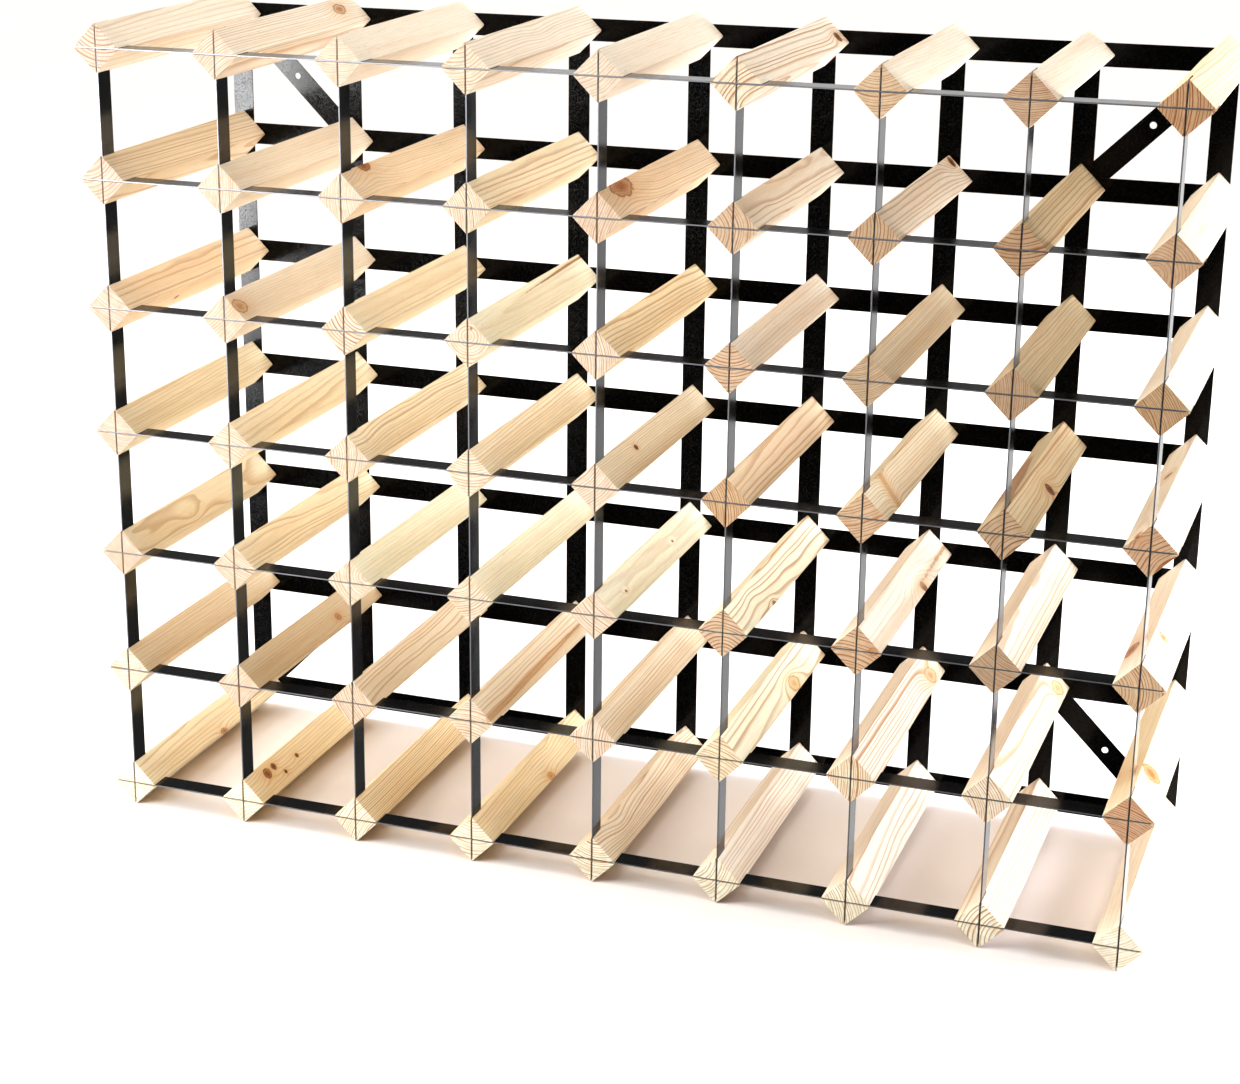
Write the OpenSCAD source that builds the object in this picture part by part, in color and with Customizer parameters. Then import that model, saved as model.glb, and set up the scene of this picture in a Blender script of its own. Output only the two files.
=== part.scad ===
// Free-standing wine rack: pine bars held between thin steel strips.
// The front faces -Y, +Z is up, and the origin is on the floor at the middle of the rack.

/* [Grid] */
// Number of columns of bars, one more than the bottles across
columns = 9; // [4:1:12]
// Number of rows of bars, one more than the bottles high
rows = 7; // [4:1:9]
// Distance between the centres of neighbouring bars
pitch = 96; // [90:1:110]

/* [Bars] */
// Side of a square bar before its arrises are eased
bar_side = 26; // [22:0.5:30]
// Length of a bar from front to back
bar_length = 226; // [180:1:260]
// Width of the small flat planed along each arris
arris_flat = 0.8; // [0.4:0.1:2]

/* [Strips] */
// Width of the steel strip that all the strips and braces are cut from
strip_width = 17; // [14:0.5:19]
// Thickness of the steel strip
strip_thick = 1; // [0.8:0.1:1.2]
// Width of the saw kerfs in the front ends of the bars
kerf_width = 1.3; // [1.2:0.1:2]
// Depth from the front ends of the bars to the edges of the front strips
strip_inset = 1; // [0:0.5:3]
// How far the front strips run past the centres of the last bars
front_overrun = 15; // [12:0.5:17]
// How far the back strips run past the centres of the last bars
back_overrun = 8.5; // [8.5:0.5:17]

/* [Braces] */
// Diameter of the wall-fixing hole in the middle of each brace
fixing_hole = 5; // [4:0.5:6]

/* [Nails] */
// Diameter of a nail's shank
nail_diameter = 2; // [1.6:0.1:2.5]
// Length of a nail under its head
nail_length = 30; // [25:1:40]
// Diameter of a nail's head
head_diameter = 5; // [4:0.5:6]
// Thickness of a nail's head
head_thick = 0.8; // [0.6:0.1:1]

/* [Hidden] */
$fn = 48;

// Tip to tip across a bar, which is also its height when it stands corner up
bar_diagonal = bar_side * sqrt(2) - arris_flat;

// The braces stand behind both layers of back strips, and their nails' heads are last
depth = bar_length + 3 * strip_thick + head_thick;
front_y = -depth / 2;
back_y = front_y + bar_length;
vertical_y = back_y;
horizontal_y = vertical_y + strip_thick;
brace_y = horizontal_y + strip_thick;

// The front strips sit on the bottoms of the kerfs and lap each other half and half
kerf_depth = strip_inset + strip_width;
front_strip_y = front_y + strip_inset;
lap_y = front_strip_y + strip_width / 2;
// A lap slot starts outside the strip, so that it cuts clean through the edge
cut_past = 1;

first_x = -(columns - 1) / 2 * pitch;
last_x = -first_x;
bottom_z = bar_diagonal / 2;
top_z = bottom_z + (rows - 1) * pitch;

// The braces run along the diagonals of the corner squares, from bar centre to bar centre
brace_length = pitch * sqrt(2) + strip_width;

COLUMNS = [1 : columns];
ROWS = [1 : rows];
function column_x(column) = first_x + (column - 1) * pitch;
// Row 1 is the top one
function row_z(row) = top_z - (row - 1) * pitch;
function is_corner(n, count) = n <= 2 || n >= count - 1;
// A brace is nailed at its corner bar and at the bar next to it along the diagonal
function is_braced(column, row) = is_corner(column, columns) && is_corner(row, rows)
    && (column == 1 || column == columns) == (row == 1 || row == rows);

// Square section standing on one corner, with its four arrises planed flat
module bar_section() {
    tip = bar_diagonal / 2;
    flat = arris_flat / 2;
    polygon([
        [-flat, -tip], [flat, -tip], [tip, -flat], [tip, flat],
        [flat, tip], [-flat, tip], [-tip, flat], [-tip, -flat]
    ]);
}

// Extrudes a section drawn in X and Z along +Y, starting at the given Y
module along_y(y, length) {
    translate([0, y + length, 0])
        rotate([90, 0, 0])
            linear_extrude(height = length)
                children();
}

// Round hole or shank along Y
module rod(x, y, z, diameter, length) {
    translate([x, y, z])
        rotate([-90, 0, 0])
            cylinder(d = diameter, h = length);
}

// Two kerfs sawn across each other in the front end of a bar
module kerf_cross() {
    square([kerf_width, bar_side * 2], center = true);
    square([bar_side * 2, kerf_width], center = true);
}

module bar() {
    difference() {
        along_y(front_y, bar_length) bar_section();
        along_y(front_y - cut_past, kerf_depth + cut_past) kerf_cross();
        rod(0, back_y + 2 * strip_thick - nail_length, 0, nail_diameter, nail_length);
    }
}

module bars_row(row) {
    color("burlywood")
        for (column = COLUMNS)
            translate([column_x(column), 0, row_z(row)]) bar();
}

// On edge, with a slot in its front half for every horizontal strip
module front_vertical_strip(column) {
    length = top_z - bottom_z + 2 * front_overrun;
    color("black")
        translate([column_x(column), 0, 0])
            difference() {
                translate([-strip_thick / 2, front_strip_y, bottom_z - front_overrun])
                    cube([strip_thick, strip_width, length]);
                for (row = ROWS)
                    translate([-strip_thick, front_strip_y - cut_past, row_z(row) - strip_thick / 2])
                        cube([2 * strip_thick, strip_width / 2 + cut_past, strip_thick]);
            }
}

// On edge, with a slot in its back half for every vertical strip
module front_horizontal_strip(row) {
    length = last_x - first_x + 2 * front_overrun;
    color("black")
        translate([0, 0, row_z(row)])
            difference() {
                translate([first_x - front_overrun, front_strip_y, -strip_thick / 2])
                    cube([length, strip_width, strip_thick]);
                for (column = COLUMNS)
                    translate([column_x(column) - strip_thick / 2, lap_y, -strip_thick])
                        cube([strip_thick, strip_width / 2 + cut_past, 2 * strip_thick]);
            }
}

module back_vertical_strip(column) {
    length = top_z - bottom_z + 2 * back_overrun;
    color("black")
        difference() {
            translate([column_x(column) - strip_width / 2, vertical_y, bottom_z - back_overrun])
                cube([strip_width, strip_thick, length]);
            for (row = ROWS)
                rod(column_x(column), vertical_y - cut_past, row_z(row),
                    nail_diameter, strip_thick + 2 * cut_past);
        }
}

module back_horizontal_strip(row) {
    length = last_x - first_x + 2 * back_overrun;
    color("black")
        difference() {
            translate([first_x - back_overrun, horizontal_y, row_z(row) - strip_width / 2])
                cube([length, strip_thick, strip_width]);
            for (column = COLUMNS)
                rod(column_x(column), horizontal_y - cut_past, row_z(row),
                    nail_diameter, strip_thick + 2 * cut_past);
        }
}

// Strip across a corner square: side_x and side_z are 1 or -1 for the corner it leads to
module brace(side_x, side_z) {
    x = side_x * (last_x - pitch / 2);
    z = (top_z + bottom_z) / 2 + side_z * ((top_z - bottom_z) / 2 - pitch / 2);
    color("black")
        translate([x, brace_y, z])
            difference() {
                rotate([0, -side_x * side_z * 45, 0])
                    translate([-brace_length / 2, 0, -strip_width / 2])
                        cube([brace_length, strip_thick, strip_width]);
                rod(0, -cut_past, 0, fixing_hole, strip_thick + 2 * cut_past);
                for (end = [-1, 1])
                    rod(end * pitch / 2, -cut_past, end * side_x * side_z * pitch / 2,
                        nail_diameter, strip_thick + 2 * cut_past);
            }
}

// The shank ends at the bottom of its hole in the bar, and the head rests on the outer strip
module nail(layers) {
    tip_y = back_y + 2 * strip_thick - nail_length;
    seat_y = back_y + layers * strip_thick;
    rod(0, tip_y, 0, nail_diameter, seat_y - tip_y);
    rod(0, seat_y, 0, head_diameter, head_thick);
}

module back_nails() {
    color("silver")
        for (row = ROWS, column = COLUMNS)
            translate([column_x(column), 0, row_z(row)])
                nail(is_braced(column, row) ? 3 : 2);
}

for (row = ROWS)
    bars_row(row);
for (column = COLUMNS)
    front_vertical_strip(column);
for (row = ROWS)
    front_horizontal_strip(row);
for (column = COLUMNS)
    back_vertical_strip(column);
for (row = ROWS)
    back_horizontal_strip(row);
brace(-1, 1);  // brace_top_left
brace(1, 1);  // brace_top_right
brace(-1, -1);  // brace_bottom_left
brace(1, -1);  // brace_bottom_right
back_nails();
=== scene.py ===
"""The looks of a free-standing wine rack: pine bars held between thin black steel strips.

Lengths in millimetres are multiplied by MM, because Blender works in metres. The rack's front
faces -Y, row 1 is the top row, and column 1 is the left column seen from the front.
"""

import math

import bmesh
import bpy
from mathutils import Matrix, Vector


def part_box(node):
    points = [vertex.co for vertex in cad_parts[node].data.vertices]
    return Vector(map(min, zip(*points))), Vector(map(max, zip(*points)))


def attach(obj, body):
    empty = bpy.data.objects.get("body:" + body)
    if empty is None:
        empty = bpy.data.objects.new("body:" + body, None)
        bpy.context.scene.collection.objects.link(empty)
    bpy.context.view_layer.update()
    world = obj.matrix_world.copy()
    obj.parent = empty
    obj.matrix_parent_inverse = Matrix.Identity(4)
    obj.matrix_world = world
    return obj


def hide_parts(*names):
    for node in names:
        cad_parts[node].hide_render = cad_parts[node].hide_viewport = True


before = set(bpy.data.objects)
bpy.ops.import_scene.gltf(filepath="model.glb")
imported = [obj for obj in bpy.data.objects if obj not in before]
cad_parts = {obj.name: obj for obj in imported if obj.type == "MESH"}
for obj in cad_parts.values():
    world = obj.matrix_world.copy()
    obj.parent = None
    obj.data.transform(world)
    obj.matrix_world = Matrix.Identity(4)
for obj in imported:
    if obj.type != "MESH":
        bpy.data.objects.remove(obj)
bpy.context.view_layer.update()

MM = 0.001
COLUMNS = range(1, 10)
ROWS = range(1, 8)


def middle(box):
    """The centre of a box given by its lowest and highest corners."""
    low, high = box
    return (low + high) / 2


# ---------------------------------------------------------------- sizes read from the frame

bars_low, bars_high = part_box("bars_row_1")
BAR_FRONT = bars_low.y
BAR_BACK = bars_high.y
BAR_TIP = (bars_high.z - bars_low.z) / 2
STRIP_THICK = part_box("front_vertical_strip_1")[1].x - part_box("front_vertical_strip_1")[0].x
STRIP_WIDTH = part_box("front_vertical_strip_1")[1].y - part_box("front_vertical_strip_1")[0].y
FRONT_STRIP_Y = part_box("front_vertical_strip_1")[0].y
COLUMN_X = {column: middle(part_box(f"front_vertical_strip_{column}")).x for column in COLUMNS}
ROW_Z = {row: middle(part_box(f"front_horizontal_strip_{row}")).z for row in ROWS}
PITCH = COLUMN_X[2] - COLUMN_X[1]

# ---------------------------------------------------------------- sizes kept here

BAR_SIDE = 26 * MM
KERF_WIDTH = 1.3 * MM
BAR_EDGE = 0.22 * MM
STRIP_EDGE = 0.14 * MM
NAIL_HOLE = 2 * MM
FIXING_HOLE = 5 * MM
NAIL_SHANK = 2 * MM
NAIL_HEAD = 5 * MM
NAIL_POINT = 3 * MM

# Edges that turn by more than these angles, in degrees, are eased or shaded sharp
BAR_CORNER = 40
STRIP_CORNER = 60
NAIL_CORNER = 50

# The part of a length at 45 degrees that goes across, and up
SLANT = math.sqrt(0.5)


# ---------------------------------------------------------------- camera

def add_camera():
    """Stands in front of the rack, to its right, and looks down and to the left."""
    down = 18.244
    leftward = 21.122
    lens = bpy.data.cameras.new("camera")
    lens.sensor_width = 36
    lens.lens = 72.93
    lens.shift_x = 0.0716
    lens.shift_y = -0.0168
    lens.clip_end = 50
    camera = bpy.data.objects.new("camera", lens)
    camera.location = (0.56535, -1.70221, 0.83656)
    camera.rotation_euler = (math.radians(90 - down), 0, math.radians(leftward))
    bpy.context.scene.collection.objects.link(camera)
    bpy.context.scene.camera = camera


# ---------------------------------------------------------------- mesh helpers

def add_piece(name, mesh, material, place=(0, 0, 0)):
    """Links a mesh as a piece of the rack that rides on its only body."""
    mesh.materials.append(material)
    piece = bpy.data.objects.new(name, mesh)
    piece.location = place
    bpy.context.scene.collection.objects.link(piece)
    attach(piece, "root")
    return piece


def ease_edges(piece, width, sharper_than):
    """Rounds the edges that are sharper than an angle in degrees."""
    bevel = piece.modifiers.new("eased_edges", "BEVEL")
    bevel.width = width
    bevel.segments = 2
    bevel.limit_method = "ANGLE"
    bevel.angle_limit = math.radians(sharper_than)
    bevel.harden_normals = True


def mesh_from(name, points, faces):
    """A closed, smooth-shaded mesh with its normals facing out."""
    shape = bmesh.new()
    corners = [shape.verts.new(point) for point in points]
    for face in faces:
        shape.faces.new([corners[i] for i in face])
    bmesh.ops.recalc_face_normals(shape, faces=shape.faces)
    for face in shape.faces:
        face.smooth = True
    mesh = bpy.data.meshes.new(name)
    shape.to_mesh(mesh)
    shape.free()
    return mesh


# ---------------------------------------------------------------- bars

# Points along each rounded arris, from one side of its kerf to the other
ARRIS_POINTS = 5


def bar_outline():
    """Points (x, z) clockwise from the top arris, ARRIS_POINTS to an arris, facing -Y."""
    radius = (BAR_SIDE / math.sqrt(2) - BAR_TIP) / (math.sqrt(2) - 1)
    to_centre = BAR_TIP - radius
    half_turn = math.asin(KERF_WIDTH / 2 / radius)
    outline = []
    for arris in range(4):
        facing = math.radians(90 - 90 * arris)
        for step in range(ARRIS_POINTS):
            angle = facing + half_turn * (1 - 2 * step / (ARRIS_POINTS - 1))
            x = to_centre * math.cos(facing) + radius * math.cos(angle)
            z = to_centre * math.sin(facing) + radius * math.sin(angle)
            outline.append((x, z))
    return outline


def bar_mesh(length, kerf_depth):
    """A bar along Y, centred on its own origin, with two crossed kerfs in its front end.

    The kerfs run from arris to arris and leave four quarters of the front end. Each quarter lies
    between one arris and the next, and inner holds its corner at the middle of the bar.
    """
    outline = bar_outline()
    count = len(outline)
    half = KERF_WIDTH / 2
    inner = [(half, half), (half, -half), (-half, -half), (-half, half)]
    front, back = -length / 2, length / 2
    kerf_floor = front + kerf_depth
    points = [(x, front, z) for x, z in outline]
    points += [(x, kerf_floor, z) for x, z in outline]
    points += [(x, back, z) for x, z in outline]
    points += [(x, front, z) for x, z in inner]
    points += [(x, kerf_floor, z) for x, z in inner]
    floor_ring, back_ring = count, 2 * count
    inner_front, inner_floor = 3 * count, 3 * count + 4

    faces = [list(range(back_ring, back_ring + count))]
    for i in range(count):
        after = (i + 1) % count
        faces.append([floor_ring + i, floor_ring + after, back_ring + after, back_ring + i])
    faces.append([inner_floor + i for i in range(4)])
    for quarter in range(4):
        first = quarter * ARRIS_POINTS + ARRIS_POINTS - 1
        second = (first + 1) % count
        mid = inner_front + quarter
        mid_floor = inner_floor + quarter
        faces.append([first, second, mid])
        faces.append([first, second, floor_ring + second, floor_ring + first])
        faces.append([first, mid, mid_floor, floor_ring + first])
        faces.append([second, mid, mid_floor, floor_ring + second])
        arm = [floor_ring + quarter * ARRIS_POINTS + i for i in range(ARRIS_POINTS)]
        faces.append(arm + [mid_floor, inner_floor + (quarter - 1) % 4])
    return mesh_from("bar", points, faces)


# ---------------------------------------------------------------- steel strips

class Plate:
    """A flat steel plate put together from cells, with points given as (along, across).

    side is -1 or 1 for its two faces. place turns (along, across, up) into a point of the mesh,
    where up goes through the thickness.
    """

    def __init__(self, place):
        self.place = place
        self.points = []
        self.faces = []
        self.index = {}

    def corner(self, point, side):
        """The number of a corner, which is made when it is first asked for."""
        along, across = point
        key = (round(along, 6), round(across, 6), side)
        if key not in self.index:
            self.index[key] = len(self.points)
            self.points.append(self.place(along, across, side * STRIP_THICK / 2))
        return self.index[key]

    def cell(self, ring):
        """Adds a cell to both faces of the plate."""
        for side in (-1, 1):
            self.faces.append([self.corner(point, side) for point in ring])

    def wall(self, start, end):
        """Closes the edge of the plate from one point to another."""
        below = [self.corner(start, -1), self.corner(end, -1)]
        above = [self.corner(end, 1), self.corner(start, 1)]
        self.faces.append(below + above)

    def mesh(self, name):
        return mesh_from(name, self.points, self.faces)


def slotted_strip(length, crossings, slotted_half, place):
    """A strip from 0 to length, slotted half way across wherever another strip crosses it.

    slotted_half is 0 for slots in its first half across and 1 for slots in its second.
    """
    cuts = [0]
    for at in crossings:
        cuts += [at - STRIP_THICK / 2, at + STRIP_THICK / 2]
    cuts.append(length)
    acrosses = [0, STRIP_WIDTH / 2, STRIP_WIDTH]
    solid = []
    for i in range(len(cuts) - 1):
        at_crossing = i % 2 == 1
        solid += [(i, j) for j in range(2) if not (at_crossing and j == slotted_half)]

    plate = Plate(place)
    for i, j in solid:
        corners = [(i, j), (i + 1, j), (i + 1, j + 1), (i, j + 1)]
        ring = [(cuts[a], acrosses[b]) for a, b in corners]
        plate.cell(ring)
        neighbours = [(i, j - 1), (i + 1, j), (i, j + 1), (i - 1, j)]
        for n, neighbour in enumerate(neighbours):
            if neighbour not in solid:
                plate.wall(ring[n], ring[(n + 1) % 4])
    return plate


# Steps along each side of the square that surrounds a hole
HOLE_STEPS = 6


def square_ring(centre):
    """Points anticlockwise round a square stretch of a strip, HOLE_STEPS to a side."""
    half = STRIP_WIDTH / 2
    corners = [(-1, -1), (1, -1), (1, 1), (-1, 1)]
    ring = []
    for side in range(4):
        x0, y0 = corners[side]
        x1, y1 = corners[(side + 1) % 4]
        for step in range(HOLE_STEPS):
            part = step / HOLE_STEPS
            x = x0 + (x1 - x0) * part
            y = y0 + (y1 - y0) * part
            ring.append((centre + half * x, half * y))
    return ring


def steps_across():
    """Pairs of neighbouring places across a strip, HOLE_STEPS of them from edge to edge."""
    half = STRIP_WIDTH / 2
    places = [half * (2 * step / HOLE_STEPS - 1) for step in range(HOLE_STEPS + 1)]
    return list(zip(places, places[1:]))


def add_plain(plate, start, end):
    """Adds a stretch of a strip that has no hole."""
    half = STRIP_WIDTH / 2
    if end - start < STRIP_EDGE:
        return
    for low, high in steps_across():
        plate.cell([(start, low), (end, low), (end, high), (start, high)])
    plate.wall((start, -half), (end, -half))
    plate.wall((start, half), (end, half))


def add_drilled(plate, centre, diameter):
    """Adds a square stretch of a strip with a round hole in its middle."""
    outer = square_ring(centre)
    inner = []
    for along, across in outer:
        scale = diameter / 2 / math.hypot(along - centre, across)
        inner.append((centre + (along - centre) * scale, across * scale))
    for i in range(len(outer)):
        after = (i + 1) % len(outer)
        plate.cell([outer[i], outer[after], inner[after], inner[i]])
        plate.wall(inner[i], inner[after])
        on_long_edge = outer[i][1] == outer[after][1]
        if on_long_edge:
            plate.wall(outer[i], outer[after])


def drilled_strip(length, holes, place):
    """A strip centred on its own origin, with round holes given as (along, diameter)."""
    half = STRIP_WIDTH / 2
    plate = Plate(place)
    at = -length / 2
    for centre, diameter in sorted(holes):
        add_plain(plate, at, centre - half)
        add_drilled(plate, centre, diameter)
        at = centre + half
    add_plain(plate, at, length / 2)
    for end in (-length / 2, length / 2):
        for low, high in steps_across():
            plate.wall((end, low), (end, high))
    return plate


def upright_on_edge(along, across, up):
    return up, across, along


def rail_on_edge(along, across, up):
    return along, across, up


def upright_flat(along, across, up):
    return across, up, along


def rail_flat(along, across, up):
    return along, up, across


def slanted_flat(slant):
    """Lays a strip flat at 45 degrees, rising to the right where slant is above 0."""
    def place(along, across, up):
        return along * SLANT - across * slant, up, along * slant + across * SLANT
    return place


def bare_edges(mesh, material):
    """Gives the narrow sides of a strip on edge the look of sheared steel."""
    mesh.materials.append(material)
    for face in mesh.polygons:
        if abs(face.normal.y) > 0.9:
            face.material_index = 1


def add_strip(name, node, strip, place, material, edge_material=None):
    """Adds a strip as the piece that stands for a CAD node."""
    mesh = strip.mesh(node)
    piece = add_piece(name, mesh, material, place)
    if edge_material:
        bare_edges(mesh, edge_material)
    ease_edges(piece, STRIP_EDGE, STRIP_CORNER)
    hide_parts(node)


def add_front_strips(material, edge_material):
    """Strips on edge in the kerfs, each lapped half and half over the ones that cross it."""
    for column in COLUMNS:
        node = f"front_vertical_strip_{column}"
        low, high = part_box(node)
        crossings = sorted(ROW_Z[row] - low.z for row in ROWS)
        strip = slotted_strip(high.z - low.z, crossings, 0, upright_on_edge)
        place = (COLUMN_X[column], low.y, low.z)
        add_strip(f"front_upright_{column}", node, strip, place, material, edge_material)
    for row in ROWS:
        node = f"front_horizontal_strip_{row}"
        low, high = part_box(node)
        crossings = [COLUMN_X[column] - low.x for column in COLUMNS]
        strip = slotted_strip(high.x - low.x, crossings, 1, rail_on_edge)
        place = (low.x, low.y, ROW_Z[row])
        add_strip(f"front_rail_{row}", node, strip, place, material, edge_material)


def add_back_strips(material):
    """Strips nailed flat across the back ends of the bars, the rails over the uprights."""
    for column in COLUMNS:
        node = f"back_vertical_strip_{column}"
        low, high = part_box(node)
        centre = (low + high) / 2
        holes = [(ROW_Z[row] - centre.z, NAIL_HOLE) for row in ROWS]
        strip = drilled_strip(high.z - low.z, holes, upright_flat)
        add_strip(f"back_upright_{column}", node, strip, centre, material)
    for row in ROWS:
        node = f"back_horizontal_strip_{row}"
        low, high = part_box(node)
        centre = (low + high) / 2
        holes = [(COLUMN_X[column] - centre.x, NAIL_HOLE) for column in COLUMNS]
        strip = drilled_strip(high.x - low.x, holes, rail_flat)
        add_strip(f"back_rail_{row}", node, strip, centre, material)


def add_braces(material):
    """Short strips across the corner squares, with a wall-fixing hole in the middle."""
    length = PITCH * math.sqrt(2) + STRIP_WIDTH
    nail = PITCH / math.sqrt(2)
    holes = [(-nail, NAIL_HOLE), (0, FIXING_HOLE), (nail, NAIL_HOLE)]
    for side_z, across in ((1, "top"), (-1, "bottom")):
        for side_x, along in ((-1, "left"), (1, "right")):
            node = f"brace_{across}_{along}"
            strip = drilled_strip(length, holes, slanted_flat(side_x * side_z * SLANT))
            add_strip(f"corner_{node}", node, strip, middle(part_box(node)), material)


# ---------------------------------------------------------------- nails

# Steps round a nail, and from the rim of its head to its crown
NAIL_SIDES = 24
CROWN_STEPS = 5


def nail_profile(length, head_thick):
    """Points (radius, y) of a nail, from its point to the crown of its head at y = 0."""
    shank = NAIL_SHANK / 2
    head = NAIL_HEAD / 2
    seat = -head_thick
    straight = 0.4 * head_thick
    rounded = 0.28 * head
    profile = [(0, seat - length), (shank, seat - length + NAIL_POINT), (shank, seat)]
    profile += [(head * 0.96, seat), (head, seat + head_thick * 0.15)]
    for step in range(CROWN_STEPS):
        angle = math.radians(90 * step / CROWN_STEPS)
        radius = head - rounded + rounded * math.cos(angle)
        profile.append((radius, seat + straight + (head_thick - straight) * math.sin(angle)))
    profile.append((head * 0.36, 0))
    profile.append((0, 0))
    return profile


def turn_nail(points, faces, centre, profile):
    """Adds a nail along Y to a mesh's points and faces. Its profile ends on its axis both ways."""
    x, y, z = centre
    start = len(points)
    for radius, out in profile[1:-1]:
        for step in range(NAIL_SIDES):
            angle = 2 * math.pi * step / NAIL_SIDES
            points.append((x + radius * math.cos(angle), y + out, z + radius * math.sin(angle)))
    last = len(points) - NAIL_SIDES
    tip = len(points)
    crown = tip + 1
    points.append((x, y + profile[0][1], z))
    points.append((x, y + profile[-1][1], z))
    for step in range(NAIL_SIDES):
        after = (step + 1) % NAIL_SIDES
        for ring in range(start, last, NAIL_SIDES):
            outer = ring + NAIL_SIDES
            faces.append([ring + step, ring + after, outer + after, outer + step])
        faces.append([start + step, start + after, tip])
        faces.append([last + step, last + after, crown])


def add_nails(material):
    """One nail with a low crowned head through the strips into the back end of every bar."""
    low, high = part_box("back_nails")
    brace_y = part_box("brace_top_left")[1].y
    rails_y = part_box("back_horizontal_strip_1")[1].y
    head_thick = high.y - brace_y
    points = []
    faces = []
    for row in ROWS:
        for column in COLUMNS:
            seat = brace_y if is_braced(column, row) else rails_y
            crown = (COLUMN_X[column], seat + head_thick, ROW_Z[row])
            turn_nail(points, faces, crown, nail_profile(seat - low.y, head_thick))
    mesh = mesh_from("nails", points, faces)
    mesh.set_sharp_from_angle(angle=math.radians(NAIL_CORNER))
    piece = add_piece("nails", mesh, material)
    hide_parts("back_nails")


def is_braced(column, row):
    """Whether a brace is nailed to this bar too."""
    from_side = min(column - 1, COLUMNS[-1] - column)
    from_end = min(row - 1, ROWS[-1] - row)
    return from_side == from_end and from_side < 2


# ---------------------------------------------------------------- material helpers

def srgb(red, green, blue):
    """A colour given as 0 to 255 screen values, in Blender's linear values."""
    linear = []
    for value in (red, green, blue):
        part = value / 255
        linear.append(part / 12.92 if part <= 0.04045 else ((part + 0.055) / 1.055) ** 2.4)
    return (*linear, 1)


class Graph:
    """The node tree of a material or world. Each method adds a node and returns its output."""

    def __init__(self, owner):
        owner.use_nodes = True
        self.owner = owner
        self.tree = owner.node_tree
        self.shader = self.tree.nodes.get("Principled BSDF")

    def add(self, kind, **settings):
        node = self.tree.nodes.new(kind)
        for name, value in settings.items():
            setattr(node, name, value)
        return node

    def feed(self, socket, value):
        if isinstance(value, bpy.types.NodeSocket):
            self.tree.links.new(value, socket)
        else:
            socket.default_value = value

    def math(self, operation, *values, clamp=False):
        node = self.add("ShaderNodeMath", operation=operation, use_clamp=clamp)
        for socket, value in zip(node.inputs, values):
            self.feed(socket, value)
        return node.outputs[0]

    def vector(self, operation, *values):
        node = self.add("ShaderNodeVectorMath", operation=operation)
        for socket, value in zip(node.inputs, values):
            self.feed(socket, value)
        in_value = operation in ("DOT_PRODUCT", "LENGTH", "DISTANCE")
        return node.outputs["Value" if in_value else "Vector"]

    def scaled(self, vector, factor):
        node = self.add("ShaderNodeVectorMath", operation="SCALE")
        self.feed(node.inputs[0], vector)
        self.feed(node.inputs["Scale"], factor)
        return node.outputs["Vector"]

    def joined(self, x, y, z):
        node = self.add("ShaderNodeCombineXYZ")
        for socket, value in zip(node.inputs, (x, y, z)):
            self.feed(socket, value)
        return node.outputs[0]

    def split(self, vector):
        node = self.add("ShaderNodeSeparateXYZ")
        self.feed(node.inputs[0], vector)
        return node.outputs

    def place(self):
        """The place on an object, in millimetres from its origin."""
        return self.scaled(self.add("ShaderNodeTexCoord").outputs["Object"], 1 / MM)

    def own(self, name, output="Fac"):
        """A value that each object using the material holds as a custom property."""
        node = self.add("ShaderNodeAttribute", attribute_type="OBJECT", attribute_name=name)
        return node.outputs[output]

    def ramp(self, value, start, end, low=0.0, high=1.0):
        """Goes smoothly from low at start to high at end."""
        node = self.add("ShaderNodeMapRange", interpolation_type="SMOOTHSTEP")
        self.feed(node.inputs["Value"], value)
        self.feed(node.inputs["From Min"], start)
        self.feed(node.inputs["From Max"], end)
        self.feed(node.inputs["To Min"], low)
        self.feed(node.inputs["To Max"], high)
        return node.outputs["Result"]

    def bell(self, distance, width):
        """1 at no distance, falling away smoothly over a width."""
        part = self.math("DIVIDE", distance, width)
        return self.math("EXPONENT", self.math("MULTIPLY", self.math("MULTIPLY", part, part), -1.0))

    def noise(self, at, detail=2.0, roughness=0.5, output="Fac"):
        """Noise with features about one unit across."""
        node = self.add("ShaderNodeTexNoise", noise_dimensions="3D")
        self.feed(node.inputs["Vector"], at)
        node.inputs["Scale"].default_value = 1.0
        node.inputs["Detail"].default_value = detail
        node.inputs["Roughness"].default_value = roughness
        return node.outputs[output]

    def noise_along(self, value, output="Fac"):
        node = self.add("ShaderNodeTexNoise", noise_dimensions="1D")
        self.feed(node.inputs["W"], value)
        node.inputs["Scale"].default_value = 1.0
        node.inputs["Detail"].default_value = 1.0
        return node.outputs[output]

    def random(self, value):
        node = self.add("ShaderNodeTexWhiteNoise", noise_dimensions="1D")
        self.feed(node.inputs["W"], value)
        return node.outputs["Value"]

    def mix(self, factor, first, second, blend="MIX"):
        node = self.add("ShaderNodeMix", data_type="RGBA", blend_type=blend)
        self.feed(node.inputs["Factor"], factor)
        self.feed(node.inputs[6], first)
        self.feed(node.inputs[7], second)
        return node.outputs[2]

    def mix_values(self, factor, first, second):
        node = self.add("ShaderNodeMix", data_type="FLOAT")
        self.feed(node.inputs["Factor"], factor)
        self.feed(node.inputs[2], first)
        self.feed(node.inputs[3], second)
        return node.outputs[0]

    def bump(self, height, depth):
        """Turns a height from 0 to 1 into a bump that is depth metres deep."""
        node = self.add("ShaderNodeBump")
        node.inputs["Strength"].default_value = 1.0
        node.inputs["Distance"].default_value = depth
        self.feed(node.inputs["Height"], height)
        return node.outputs["Normal"]


# ---------------------------------------------------------------- pine

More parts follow.
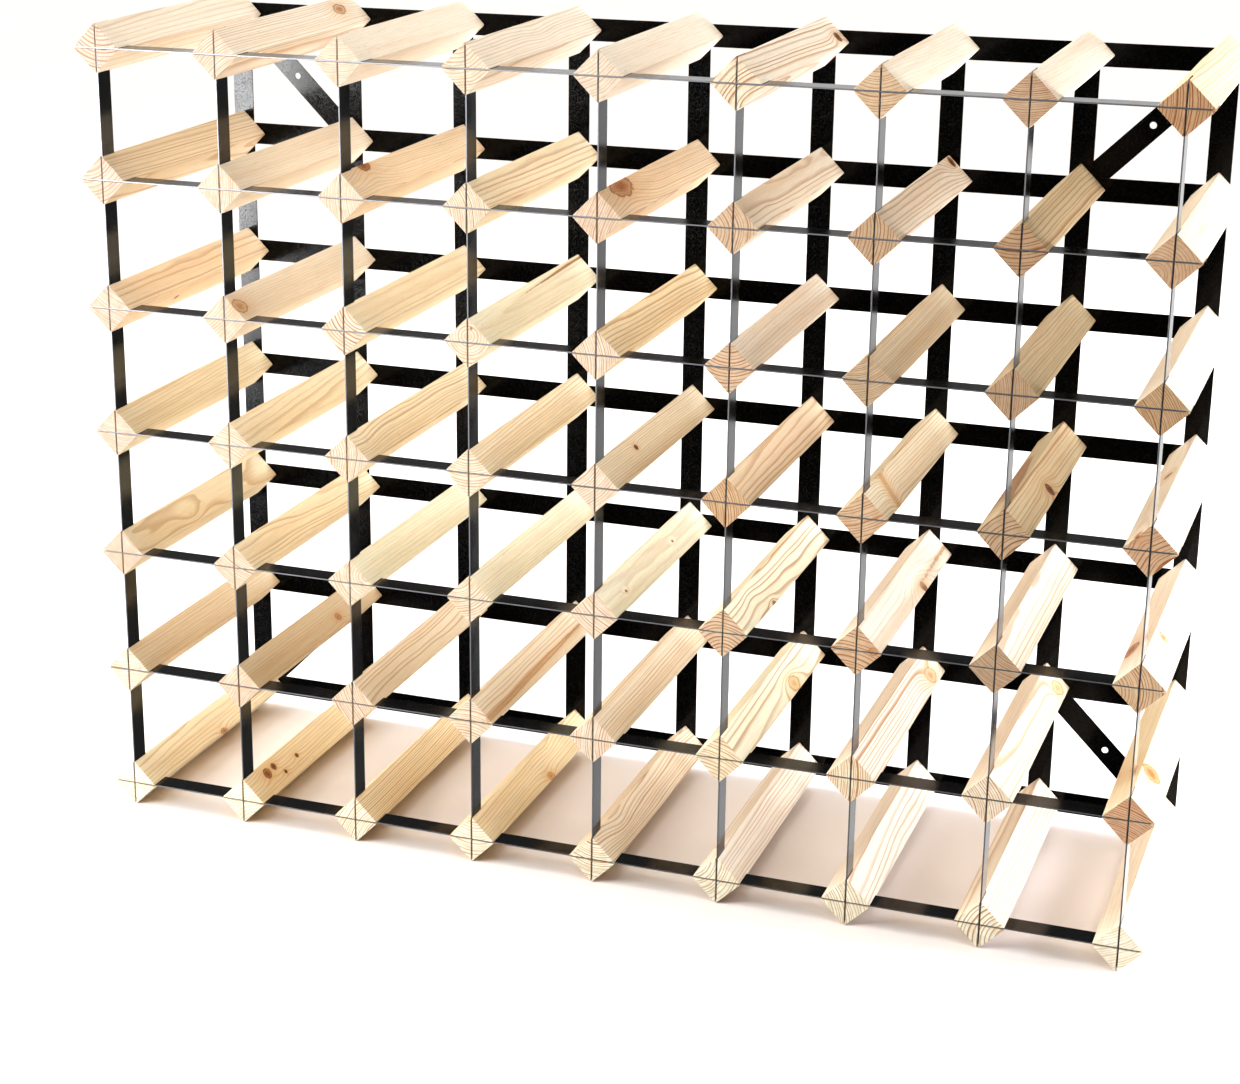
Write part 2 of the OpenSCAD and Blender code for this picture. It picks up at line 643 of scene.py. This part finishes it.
EARLY_WOOD = srgb(225, 210, 185)
LATE_WOOD = srgb(166, 114, 68)
PALE_KNOT = srgb(208, 168, 122)
FRESH_KNOT = srgb(152, 94, 54)
DARK_KNOT = srgb(62, 34, 22)
HALO = srgb(208, 164, 116)
RESIN = srgb(166, 118, 76)


# How far one unit of a bar's seed shifts its noise, so that no two bars show the same piece of it
SEED_SHIFT = (13.7, 5.9, 9.1)

# How strongly the rings show on the sawn ends, and on planed faces with clear or faint grain
END_GRAIN = 1.6
CLEAR_GRAIN = 1.05
FAINT_GRAIN = 0.45


def stretched(g, place, across, along, shift=0.0):
    """The place in a bar, scaled for noise with features so many millimetres across and along."""
    scaled = g.vector("MULTIPLY", place, (1 / across, 1 / along, 1 / across))
    seed = g.math("ADD", g.own("seed"), shift)
    return g.vector("ADD", scaled, g.scaled(SEED_SHIFT, seed))


def centred(g, colour, amount):
    """A noise colour turned into a push of up to half of amount each way."""
    return g.scaled(g.vector("SUBTRACT", colour, (0.5, 0.5, 0.5)), amount)


def wandering_place(g, place):
    """The place in the bar's log, in millimetres, pushed about as a real trunk grows."""
    slow = g.noise(stretched(g, place, 45, 190), output="Color")
    quick = g.noise(stretched(g, place, 12, 70, 3.0), output="Color")
    moved = g.vector("ADD", place, centred(g, slow, g.own("wander")))
    return g.vector("ADD", moved, centred(g, quick, 0.9))


def pith_distance(g, place):
    """Millimetres from the pith line, which passes the bar's middle at pith and leans."""
    x, y, z = g.split(place)
    pith = g.split(g.own("pith", "Vector"))
    lean = g.split(g.own("lean", "Vector"))
    off_x = g.math("SUBTRACT", x, g.math("MULTIPLY_ADD", y, lean[0], pith[0]))
    off_z = g.math("SUBTRACT", z, g.math("MULTIPLY_ADD", y, lean[2], pith[2]))
    return g.vector("LENGTH", g.joined(off_x, 0.0, off_z))


class Knot:
    """A branch that crosses the bar on a straight line, and its distances in millimetres."""

    def __init__(self, g, place, name):
        at = g.own(f"{name}_at", "Vector")
        way = g.own(f"{name}_way", "Vector")
        self.size = g.own(f"{name}_size")
        self.dark = g.own(f"{name}_dark")
        self.bend = g.own(f"{name}_bend")
        self.lift = g.own(f"{name}_lift")
        offset = g.vector("SUBTRACT", place, at)
        along = g.vector("DOT_PRODUCT", offset, way)
        aside = g.vector("SUBTRACT", offset, g.scaled(way, along))
        ragged = g.noise(g.scaled(place, 1 / 4), detail=2.0)
        ragged = g.math("MULTIPLY_ADD", ragged, 0.5, 0.75)
        self.distance = g.math("MULTIPLY", g.vector("LENGTH", aside), ragged)
        self.reach = g.vector("LENGTH", g.vector("MULTIPLY", aside, (1.0, 0.5, 1.0)))

    def push(self, g):
        """How far the branch pushes the rings of the trunk outward."""
        return g.math("MULTIPLY", g.bell(self.reach, self.bend), self.lift)

    def inside(self, g):
        edge = g.math("DIVIDE", self.distance, self.size)
        return g.ramp(edge, 0.92, 1.06, 1.0, 0.0)


def year_rings(g, distance):
    """The late wood, from 0 to 1: it darkens through each year and ends sharply."""
    years = g.math("DIVIDE", distance, g.own("ring"))
    uneven = g.noise_along(g.math("MULTIPLY_ADD", years, 0.45, g.own("seed")))
    years = g.math("MULTIPLY_ADD", uneven, 1.3, years)
    part = g.math("FRACT", years)
    rise = g.ramp(part, 0.50, 0.86)
    fall = g.ramp(part, 0.92, 1.0, 1.0, 0.0)
    late = g.math("MULTIPLY", rise, fall)
    year = g.math("ADD", g.math("FLOOR", years), g.own("seed"))
    strength = g.math("MULTIPLY_ADD", g.random(year), 0.5, 0.5)
    return g.math("MULTIPLY", late, strength)


def knot_colour(g, knot, place, colour):
    """Paints a knot over the wood: a warm halo, fine rings, a dark heart and a dark edge."""
    near = g.bell(knot.reach, g.math("MULTIPLY", knot.size, 1.7))
    colour = g.mix(g.math("MULTIPLY", near, 0.75), colour, HALO)
    part = g.math("DIVIDE", knot.distance, knot.size)
    rings = g.ramp(g.math("FRACT", g.math("MULTIPLY", knot.distance, 0.75)), 0.5, 0.95, 0.0, 0.22)
    speckle = g.noise(stretched(g, place, 1.2, 1.2, 5.0), detail=3.0)
    heart = g.ramp(part, 0.1, 0.9, 0.12, -0.2)
    tone = g.math("ADD", g.math("ADD", rings, heart), g.math("MULTIPLY_ADD", speckle, 0.6, -0.38))
    tone = g.math("MULTIPLY", g.math("ADD", tone, knot.dark), 2.0)
    core = g.mix(g.math("MINIMUM", tone, 1.0, clamp=True), PALE_KNOT, FRESH_KNOT)
    core = g.mix(g.math("SUBTRACT", tone, 1.0, clamp=True), core, DARK_KNOT)
    colour = g.mix(knot.inside(g), colour, core)
    rim_gap = g.math("ABSOLUTE", g.math("SUBTRACT", knot.distance, knot.size))
    rim_width = g.math("MULTIPLY_ADD", knot.size, 0.06, 0.2)
    rim_strength = g.math("MULTIPLY_ADD", knot.dark, 0.4, 0.55)
    rim = g.math("MULTIPLY", g.bell(rim_gap, rim_width), rim_strength)
    rim_dark = g.math("ADD", knot.dark, 0.3, clamp=True)
    return g.mix(rim, colour, g.mix(rim_dark, FRESH_KNOT, DARK_KNOT))


def pine_colour(g, place, late, end_grain, knots):
    """The colour of planed pine from its late wood, fibres, resin and knots."""
    face = g.own("plainness")
    clear = g.math("MULTIPLY_ADD", end_grain, g.math("SUBTRACT", END_GRAIN, face), face)
    contrast = g.math("MULTIPLY", g.own("contrast"), clear)
    colour = g.mix(g.math("MULTIPLY", late, contrast, clamp=True), EARLY_WOOD, LATE_WOOD)
    band = g.noise(stretched(g, place, 7, 260, 2.0), detail=2.0)
    colour = g.mix(g.ramp(band, 0.40, 0.78, 0.0, 0.3), colour, HALO)
    tick = g.ramp(g.noise(stretched(g, place, 0.6, 7, 4.0), detail=1.0), 0.70, 0.78)
    colour = g.mix(g.math("MULTIPLY", tick, 0.45), colour, RESIN)
    fibre = g.noise(stretched(g, place, 0.7, 26, 1.0), detail=3.0, roughness=0.6)
    shade = g.ramp(fibre, 0.3, 0.75, 1.04, 0.90)
    colour = g.mix(1.0, colour, g.joined(shade, shade, shade), "MULTIPLY")
    for knot in knots:
        colour = knot_colour(g, knot, place, colour)
    return colour


def tinted(g, place, end_grain, colour):
    """Tints the planed faces and the sawn ends, which are darker where the saw left them rough. Both
    tints also carry painted light and shade from each bar's own properties.
    """
    rough = g.noise(g.scaled(place, 1 / 5), detail=4.0, roughness=0.65)
    end_grain_and_painted_light = g.mix(g.ramp(rough, 0.3, 0.7), srgb(230, 227, 226), srgb(218, 211, 206))
    # the ends' own colour times each bar's painted light and shade on its ends
    end_grain_and_painted_light = g.mix(1.0, end_grain_and_painted_light, g.own("end_light_and_tone", "Color"), "MULTIPLY")
    tint = g.mix(end_grain, g.own("tint", "Color"), end_grain_and_painted_light)
    return g.mix(1.0, colour, tint, "MULTIPLY")


def make_pine(name, knot_names):
    """Planed pine whose rings, tint and knots come from each bar's own properties."""
    g = Graph(bpy.data.materials.new(name))
    place = g.place()
    log_place = wandering_place(g, place)
    distance = pith_distance(g, log_place)
    pith_mark = g.bell(distance, 1.1)
    knots = [Knot(g, log_place, knot_name) for knot_name in knot_names]
    for knot in knots:
        distance = g.math("SUBTRACT", distance, knot.push(g))
    late = g.math("MAXIMUM", year_rings(g, distance), pith_mark)

    normal = g.add("ShaderNodeNewGeometry").outputs["True Normal"]
    end_grain = g.ramp(g.math("ABSOLUTE", g.split(normal)[1]), 0.7, 0.9)
    colour = pine_colour(g, place, late, end_grain, knots)
    colour = tinted(g, place, end_grain, colour)
    g.feed(g.shader.inputs["Base Color"], colour)

    fibre = g.noise(stretched(g, place, 0.9, 20, 6.0), detail=3.0, roughness=0.6)
    relief = g.math("MULTIPLY_ADD", late, 0.6, g.math("MULTIPLY", fibre, 0.8))
    g.feed(g.shader.inputs["Normal"], g.bump(relief, 0.05 * MM))
    g.shader.inputs["Roughness"].default_value = 0.56
    g.shader.inputs["Specular IOR Level"].default_value = 0.12
    return g.owner


# ---------------------------------------------------------------- each bar's own wood

# For each bar of a row, from the left: the direction of the pith from the bar's middle, in
# degrees anticlockwise from the right, its distance and the ring width in millimetres, and
# how plainly the rings show
RINGS = {
    1: [(75, 30, 3.0, 0.9), (310, 40, 1.8, 0.7), (90, 60, 1.6, 0.4), (100, 40, 2.4, 0.5),
        (120, 40, 2.2, 0.5), (315, 35, 3.4, 0.9), (90, 30, 2.0, 0.6), (90, 40, 1.4, 0.7),
        (180, 60, 2.0, 1.0)],
    2: [(120, 25, 3.0, 0.7), (180, 50, 1.6, 0.5), (0, 50, 1.6, 0.5), (200, 40, 1.6, 0.7),
        (330, 40, 1.8, 0.6), (190, 22, 2.2, 0.7), (175, 50, 2.2, 0.7), (95, 50, 2.6, 0.9),
        (225, 13, 2.2, 0.5)],
    3: [(60, 50, 2.0, 0.5), (140, 40, 2.0, 0.5), (50, 25, 2.6, 0.9), (72, 6, 2.4, 0.5),
        (190, 60, 1.6, 0.7), (90, 30, 2.4, 0.9), (110, 30, 1.4, 0.7), (180, 60, 1.4, 0.6),
        (210, 60, 1.6, 0.7)],
    4: [(80, 60, 2.0, 0.4), (250, 50, 2.0, 0.4), (180, 50, 1.6, 0.6), (90, 35, 2.2, 0.5),
        (135, 50, 1.6, 0.6), (200, 45, 1.8, 0.8), (110, 60, 2.4, 0.7), (310, 35, 3.0, 0.8),
        (315, 40, 2.6, 0.8)],
    5: [(45, 50, 1.8, 0.5), (60, 50, 1.8, 0.6), (20, 14, 2.6, 0.5), (120, 25, 2.0, 0.6),
        (50, 50, 1.6, 0.7), (270, 25, 2.6, 0.8), (260, 50, 2.8, 0.9), (60, 40, 1.6, 0.6),
        (190, 25, 2.0, 0.8)],
    6: [(100, 60, 2.0, 0.4), (320, 50, 1.4, 0.6), (30, 50, 1.7, 0.8), (260, 40, 2.2, 0.6),
        (0, 60, 1.8, 0.6), (250, 50, 2.6, 0.7), (180, 70, 1.8, 1.0), (200, 40, 1.8, 0.7),
        (250, 60, 1.6, 0.8)],
    7: [(70, 50, 2.0, 0.5), (300, 30, 2.2, 0.5), (330, 50, 1.6, 1.0), (90, 40, 2.4, 0.5),
        (80, 30, 2.0, 0.8), (150, 25, 2.4, 0.7), (200, 60, 2.0, 0.7), (330, 30, 3.0, 0.7),
        (120, 60, 2.0, 0.4)],
}

# Bars whose grain waves more than the others, by row and column
WAVY = {(1, 4), (2, 3), (2, 6), (4, 3), (5, 1), (5, 6), (7, 1), (7, 5)}

# Bars whose planed faces hardly show their grain; in column 9 the faint grain is painted light,
# standing in for strong light from the right washing the grain out
FAINT = {(1, 1), (1, 3), (1, 5), (1, 7), (1, 8), (1, 9), (2, 2), (2, 9), (3, 2), (3, 3), (3, 4),
         (3, 6), (3, 9), (4, 9), (5, 3), (5, 4), (5, 5), (5, 7), (5, 9), (6, 9), (7, 9)}

# Tints of the planed faces, and the bars that have them, by row and column. They hold each bar's own
# tone and also painted light and shade: cream and light brighten bars as if more light fell on them,
# dark and brown darken bars as if less did
TONES = {
    "plain": (1.0, 1.0, 1.0),
    "pale": (1.05, 1.07, 1.12),
    "warm": (1.03, 1.0, 0.93),
    "light": (1.14, 1.14, 1.02),
    "cream": (1.18, 1.30, 1.26),
    "honey": (1.05, 0.96, 0.84),
    "amber": (1.12, 1.05, 0.82),
    "straw": (0.92, 0.91, 0.80),
    "tan": (0.86, 0.80, 0.70),
    "dull": (0.84, 0.83, 0.82),
    "brown": (0.77, 0.71, 0.59),
    "dark": (0.62, 0.56, 0.42),
    "orange": (0.96, 0.86, 0.72),
}
TONED = {
    (1, 9): "orange", (2, 1): "tan", (2, 3): "honey", (2, 4): "light", (2, 5): "honey",
    (2, 7): "dull", (2, 8): "dark", (2, 9): "dull", (3, 1): "honey", (3, 3): "light",
    (3, 4): "cream", (3, 5): "amber", (3, 7): "brown", (3, 8): "dark", (3, 9): "dull",
    (4, 1): "straw", (4, 2): "light", (4, 3): "light", (4, 4): "light", (4, 5): "straw",
    (4, 6): "orange", (4, 7): "straw", (4, 8): "dark", (4, 9): "dull", (5, 1): "straw",
    (5, 2): "light", (5, 3): "cream", (5, 4): "cream", (5, 5): "cream", (5, 6): "cream",
    (5, 7): "pale", (5, 9): "pale", (6, 1): "tan", (6, 2): "brown", (6, 6): "cream",
    (6, 7): "pale", (6, 9): "straw", (7, 1): "light", (7, 2): "amber", (7, 3): "amber",
    (7, 4): "amber", (7, 6): "pale", (7, 7): "pale", (7, 9): "pale",
}

# Painted light and shade on the sawn ends, as tints: by column, with shade to the right of column 5
# where the front-left light falls off; for single bars, mixed with their own tone; for the whole bottom
# row, light thrown up by the floor
END_PAINTED_LIGHT = {
    1: (0.86, 0.82, 0.86), 2: (0.96, 0.96, 1.0), 3: (1.04, 1.06, 1.1), 4: (1.12, 1.16, 1.2),
    5: (1.14, 1.18, 1.25), 6: (0.96, 0.88, 0.80), 7: (0.92, 0.80, 0.68), 8: (0.84, 0.72, 0.62),
    9: (0.84, 0.70, 0.58),
}
SINGLE_END_LIGHT_AND_TONE = {
    (1, 6): (1.20, 1.30, 1.30), (1, 7): (1.00, 0.92, 0.80), (1, 9): (0.80, 0.60, 0.42),
    (2, 5): (1.04, 1.02, 1.04), (2, 7): (0.78, 0.68, 0.56), (2, 8): (0.66, 0.54, 0.42),
    (3, 7): (0.76, 0.70, 0.60), (3, 8): (0.66, 0.56, 0.46), (3, 9): (0.72, 0.60, 0.44),
    (4, 6): (0.90, 0.76, 0.58), (4, 8): (0.68, 0.60, 0.50), (5, 8): (0.66, 0.58, 0.50),
    (5, 9): (0.90, 0.80, 0.66), (6, 1): (1.00, 1.10, 1.20), (6, 6): (1.20, 1.28, 1.24),
    (6, 7): (1.20, 1.28, 1.24), (6, 8): (1.14, 1.24, 1.30), (6, 9): (0.86, 0.66, 0.54),
}
BOTTOM_END_PAINTED_LIGHT = (1.34, 1.60, 1.72)

# Directions out of a bar's faces and across them, in (x, z)
FACES = {
    "right": ((1, 1), (1, -1)),
    "left": ((-1, 1), (-1, -1)),
    "under": ((1, -1), (-1, -1)),
}


def on_face(face, along, across, depth=0.0):
    """A point in millimetres on a bar, from its front end and from the face's upper arris."""
    out, down = FACES[face]
    half = BAR_SIDE / MM / 2
    x = (out[0] * (half - depth) + down[0] * (across - half)) * SLANT
    z = (out[1] * (half - depth) + down[1] * (across - half)) * SLANT
    return Vector((x, along - (BAR_BACK - BAR_FRONT) / MM / 2, z))


# How far a knot lifts the rings, as a part of how far away it still turns them
LIFT = 0.6


def knot(face, along, across, radius, longer=1.2, dark=0.6, bend=2.0):
    """A knot on a face, so many times longer than wide. bend tells how far it turns the grain."""
    out = FACES[face][0]
    way = Vector((out[0], -math.sqrt(2 * (longer * longer - 1)), out[1])).normalized()
    return {
        "at": tuple(on_face(face, along, across)),
        "way": tuple(way),
        "size": float(radius),
        "dark": float(dark),
        "bend": float(bend * radius),
        "lift": float(bend * radius * LIFT),
    }


def swirl(face, along, across, reach):
    """A turn in the grain over a branch that lies under the face."""
    radius = 0.2
    branch = knot(face, along, across, radius, 1.0, 0.1, reach / radius)
    branch["lift"] = reach * 0.2
    return branch


def streak(face, start, end, radius, dark=0.45, bend=0.0):
    """A vein of resin or a branch between two points given as (along, across, depth)."""
    first, last = on_face(face, *start), on_face(face, *end)
    return {
        "at": tuple(first),
        "way": tuple((last - first).normalized()),
        "size": float(radius),
        "dark": float(dark),
        "bend": max(bend * radius, 1.0),
        "lift": bend * radius * LIFT,
    }


def all_knots():
    """The knots, swirls and resin veins of each bar, by row and column."""
    return {
        (1, 2): [knot("right", 192, 10, 4.5, 2.0, 0.35, 1.6)],
        (1, 3): [swirl("right", 14, 14, 7)],
        (1, 4): [swirl("right", 118, 12, 12)],
        (1, 6): [knot("right", 212, 19, 4, 1.2, 0.9)],
        (2, 3): [knot("right", 36, 0, 5.0, 1.6, 0.6, 3.0)],
        (2, 5): [knot("right", 40, 4, 8.5, 2.2, 0.45, 2.2)],
        (2, 7): [knot("right", 218, 6, 4, 1.2, 0.9, 3.0)],
        (3, 1): [knot("under", 84, 12, 2.0, 1.2, 0.8)],
        (3, 2): [knot("right", 8, 13, 5.5, 1.4, 0.2, 1.6)],
        (3, 4): [streak("right", (228, 3, 0.0), (120, 5, 1.4), 0.8, 0.5)],
        (4, 3): [swirl("right", 16, 12, 11)],
        (4, 5): [knot("right", 69, 10, 2.0, 1.2, 0.9)],
        (4, 7): [streak("right", (46, 0, 0.4), (34, 26, 0.4), 3.0, 0.1, 2.0)],
        (4, 8): [knot("right", 96, 19, 4.5, 1.1, 0.8)],
        (4, 9): [knot("left", 4, 13, 3.0, 1.2, 0.5), knot("left", 140, 12, 3.5, 1.2, 0.5)],
        (5, 1): [swirl("right", 87, 17, 10)],
        (5, 5): [
            knot("right", 39, 15, 0.9, 1.2, 0.8, 3.0),
            knot("right", 153, 12, 0.9, 1.2, 0.8, 3.0),
        ],
        (5, 6): [knot("right", 70, 25, 2.6, 1.2, 0.6), swirl("right", 48, 10, 9)],
        (5, 7): [
            knot("right", 139, 22, 4.0, 1.2, 0.9, 4.0),
            streak("right", (30, 20, 3.4), (110, 19, 3.0), 2.6, 0.1),
        ],
        (5, 9): [knot("right", 68, 8, 4, 1.2, 0.4), knot("left", 58, 20, 6, 1.8, 0.5, 1.5)],
        (6, 2): [knot("right", 152, 18, 3, 1.2, 0.3)],
        (6, 4): [streak("right", (0, 21, 0.8), (200, 16, 1.0), 1.6, 0.12)],
        (6, 6): [knot("right", 149, 20, 6.0, 1.6, 0.1, 1.6)],
        (6, 7): [knot("right", 199, 18, 6.0, 1.6, 0.2, 1.6)],
        (6, 8): [knot("right", 207, 17, 6.0, 1.5, 0.1, 1.5)],
        (6, 9): [knot("right", 57, 9, 8.0, 1.1, 0.45, 1.5)],
        (7, 1): [knot("right", 117, 24, 2.5, 1.6, 0.4)],
        (7, 2): [
            knot("right", 31, 9, 4.0, 1.2, 0.7, 1.6),
            knot("right", 43, 8, 2.5, 1.2, 0.8, 1.6),
            knot("right", 51, 17, 1.5, 1.0, 0.9),
            knot("right", 77, 13, 1.6, 1.2, 0.8),
        ],
        (7, 4): [knot("right", 127, 23, 3.5, 1.3, 0.25), swirl("right", 150, 5, 8)],
        (7, 5): [swirl("right", 45, 9, 11)],
    }


class Spread:
    """A fixed series of numbers that look random and are the same on every run."""

    FACTOR = 16807
    RANGE = 2147483647

    def __init__(self, start):
        self.state = start

    def next(self, low, high):
        self.state = (self.state * self.FACTOR) % self.RANGE
        return low + (high - low) * self.state / self.RANGE


def bar_wood(column, row):
    """The pith line, ring width and tints of one bar, as custom properties in millimetres. The tints
    hold the bar's own tone together with painted light and shade.

    The first five numbers are thrown away, because neighbouring starts give similar ones.
    """
    spread = Spread(1000 + 137 * column + 7919 * row)
    for _ in range(5):
        spread.next(0, 1)
    turn, away, ring, contrast = RINGS[row][column - 1]
    turn = math.radians(turn)
    # Painted light: a paler, cooler tint on the top row, and a warmer tint on rows 5 to 7 of columns 1
    # to 5 for the warm light the wood throws into that shaded corner
    painted_light_tone = "pale" if row == 1 else "warm" if row > 4 and column < 6 else "plain"
    tone = TONES[TONED.get((row, column), painted_light_tone)]
    warmth = spread.next(0.94, 1.0)
    return {
        "seed": spread.next(0, 40),
        "pith": (away * math.cos(turn), 0.0, away * math.sin(turn)),
        "lean": (spread.next(-0.03, 0.03), 0.0, spread.next(-0.03, 0.03)),
        "ring": ring,
        "wander": spread.next(10, 14) if (row, column) in WAVY else spread.next(3, 6),
        "contrast": contrast,
        "plainness": FAINT_GRAIN if (row, column) in FAINT else CLEAR_GRAIN,
        "tint": (tone[0], tone[1] * (1 + warmth) / 2, tone[2] * warmth),
        "end_light_and_tone": end_light_and_tone(column, row),
    }


def end_light_and_tone(column, row):
    """The colour of a bar's sawn ends, with painted light and shade by column and by bar, palest in the
    bottom row where painted light stands for light from the floor.
    """
    if row == ROWS[-1]:
        return BOTTOM_END_PAINTED_LIGHT
    return SINGLE_END_LIGHT_AND_TONE.get((row, column), END_PAINTED_LIGHT[column])


def add_bars():
    """Every bar is its own piece, with the same shape and its own wood."""
    length = BAR_BACK - BAR_FRONT
    kerf_depth = FRONT_STRIP_Y + STRIP_WIDTH - BAR_FRONT
    knots_of = all_knots()
    names = [f"knot_{letter}" for letter in "abcd"]
    counts = (0, 1, 2, 4)
    pines = {count: make_pine(f"pine_{count}_knots", names[:count]) for count in counts}
    for row in ROWS:
        for column in COLUMNS:
            knots = knots_of.get((row, column), [])
            mesh = bar_mesh(length, kerf_depth)
            place = (COLUMN_X[column], (BAR_FRONT + BAR_BACK) / 2, ROW_Z[row])
            piece = add_piece(f"bar_{row}_{column}", mesh, pines[len(knots)], place)
            for name, value in bar_wood(column, row).items():
                piece[name] = value
            for name, one in zip(names, knots):
                for key, value in one.items():
                    piece[f"{name}_{key}"] = value
            ease_edges(piece, BAR_EDGE, BAR_CORNER)
            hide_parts(f"bars_row_{row}")


# ---------------------------------------------------------------- steel

def make_black_steel(name, speckle, specular):
    """Thin black enamel on rolled strip: near black, with a gloss that fine speckle breaks up."""
    g = Graph(bpy.data.materials.new(name))
    place = g.place()
    grain = g.noise(g.scaled(place, 1 / 0.8), detail=3.0, roughness=0.7)
    patches = g.noise(g.scaled(place, 1 / 14), detail=2.0)
    broken = g.ramp(grain, 0.48, 0.60, 0.0, speckle)
    gloss = g.math("ADD", broken, g.ramp(patches, 0.3, 0.7, 0.09, 0.12))
    g.feed(g.shader.inputs["Roughness"], gloss)
    g.shader.inputs["Base Color"].default_value = srgb(3, 3, 3)
    g.shader.inputs["Specular IOR Level"].default_value = specular
    return g.owner


def make_sheared_steel():
    """The narrow sides of a strip, where the shears left the steel dull and bare."""
    g = Graph(bpy.data.materials.new("sheared_edge"))
    place = g.place()
    drag = g.noise(g.vector("MULTIPLY", place, (1.2, 0.4, 1.2)), detail=3.0, roughness=0.6)
    g.feed(g.shader.inputs["Roughness"], g.ramp(drag, 0.3, 0.7, 0.35, 0.6))
    g.shader.inputs["Base Color"].default_value = srgb(84, 84, 88)
    g.shader.inputs["Metallic"].default_value = 0.7
    return g.owner


def make_nail_steel():
    """Bright drawn steel, slightly dulled in patches."""
    g = Graph(bpy.data.materials.new("nail_steel"))
    place = g.place()
    dull = g.noise(g.scaled(place, 1 / 1.6), detail=3.0, roughness=0.6)
    colour = g.mix(g.ramp(dull, 0.35, 0.7), srgb(200, 198, 194), srgb(150, 148, 146))
    g.feed(g.shader.inputs["Base Color"], colour)
    g.shader.inputs["Metallic"].default_value = 1.0
    g.shader.inputs["Roughness"].default_value = 0.34
    return g.owner


# ---------------------------------------------------------------- floor and light

def add_floor():
    """A plain pale floor, faintly uneven."""
    half = 6.0
    points = [(-half, -half, 0), (half, -half, 0), (half, half, 0), (-half, half, 0)]
    mesh = bpy.data.meshes.new("floor")
    mesh.from_pydata(points, [], [(0, 1, 2, 3)])
    g = Graph(bpy.data.materials.new("pale_floor"))
    place = g.add("ShaderNodeTexCoord").outputs["Object"]
    cloud = g.noise(g.scaled(place, 2.5), detail=3.0)
    g.feed(g.shader.inputs["Base Color"], g.mix(cloud, srgb(231, 222, 216), srgb(237, 228, 222)))
    g.shader.inputs["Roughness"].default_value = 0.8
    g.shader.inputs["Specular IOR Level"].default_value = 0.2
    mesh.materials.append(g.owner)
    floor = bpy.data.objects.new("floor", mesh)
    floor.visible_glossy = False
    bpy.context.scene.collection.objects.link(floor)


def add_softbox(name, place, target, size, power, seen_in_gloss=False):
    """A rectangular light that faces a target. Its power is in watts."""
    data = bpy.data.lights.new(name, "AREA")
    data.shape = "RECTANGLE"
    data.size = size[0]
    data.size_y = size[1]
    data.energy = power
    light = bpy.data.objects.new(name, data)
    light.location = place
    light.rotation_euler = (Vector(target) - Vector(place)).to_track_quat("-Z", "Y").to_euler()
    light.visible_glossy = seen_in_gloss
    light.visible_camera = False
    bpy.context.scene.collection.objects.link(light)
    return light


def diffuse_light(g, x, y, z):
    """The strength of the world as a light: white overhead, and to the left above the floor."""
    above = g.ramp(z, 0.76, 0.84, 0.0, 3.3)
    side = g.ramp(g.math("ADD", x, g.math("ABSOLUTE", y)), -0.1, 0.1, 1.8, 0.0)
    left = g.math("MULTIPLY", side, g.ramp(z, 0.15, 0.25))
    left = g.math("MULTIPLY", left, g.ramp(z, 0.76, 0.84, 1.0, 0.0))
    return g.math("ADD", above, left)


def gloss_light(g, x, y, z):
    """The world as gloss shows it: white low at the back, dim above and beside that, black in front."""
    low = g.ramp(z, 0.12, 0.22, 1.4, 0.17)
    rightward = g.math("DIVIDE", x, g.math("MAXIMUM", y, 0.01))
    beside = g.ramp(rightward, 0.34, 0.44, 1.0, 0.15)
    return g.math("MULTIPLY", g.math("MULTIPLY", low, beside), g.ramp(y, 0.0, 0.1))


def add_world():
    """White all round to the eye, with a soft light and dark gloss of its own."""
    world = bpy.data.worlds.new("studio")
    bpy.context.scene.world = world
    g = Graph(world)
    x, y, z = g.split(g.add("ShaderNodeTexCoord").outputs["Generated"])
    ray = g.add("ShaderNodeLightPath").outputs
    light = g.mix_values(ray["Is Glossy Ray"], diffuse_light(g, x, y, z), gloss_light(g, x, y, z))
    studio = g.tree.nodes["Background"]
    studio.inputs["Color"].default_value = (1, 1, 1, 1)
    g.feed(studio.inputs["Strength"], g.mix_values(ray["Is Camera Ray"], light, 1.2))


RACK_MIDDLE = (0, 0, 0.3)


def add_lights():
    """Softboxes round the rack. Only the glare is seen in gloss, and it lights nothing else."""
    left = add_softbox("left", (-1.9, 0, 0.7), RACK_MIDDLE, (1.0, 1.2), 37)
    left.data.color = (0.90, 1.0, 1.04)
    right_low = add_softbox("right_low", (1.2, 0.35, 0.3), (0.2, 0, 0.15), (0.8, 0.5), 35)
    right_low.data.color = (0.97, 1.08, 1.3)
    add_softbox("back", (0, 2.0, 1.0), RACK_MIDDLE, (1.2, 1.2), 25)
    add_softbox("back_above", (0, 1.3, 1.8), RACK_MIDDLE, (1.2, 1.2), 10)
    add_softbox("front_left_near", (-0.9, -0.8, 0.5), (-0.2, 0, 0.3), (0.6, 0.8), 14)
    glare = add_softbox("glare", (-1.73, -1.7, 0.4), RACK_MIDDLE, (1.0, 1.3), 330, True)
    glare.rotation_euler.rotate_axis("Z", math.radians(-14))
    glare.visible_diffuse = False
    add_world()
    bpy.context.scene.view_settings.view_transform = "Standard"


# ---------------------------------------------------------------- the whole scene

add_camera()
front_steel = make_black_steel("front_enamel", 0.05, 0.2)
back_steel = make_black_steel("back_enamel", 0.24, 0.1)
add_bars()
add_front_strips(front_steel, make_sheared_steel())
add_back_strips(back_steel)
add_braces(back_steel)
add_nails(make_nail_steel())
add_floor()
add_lights()
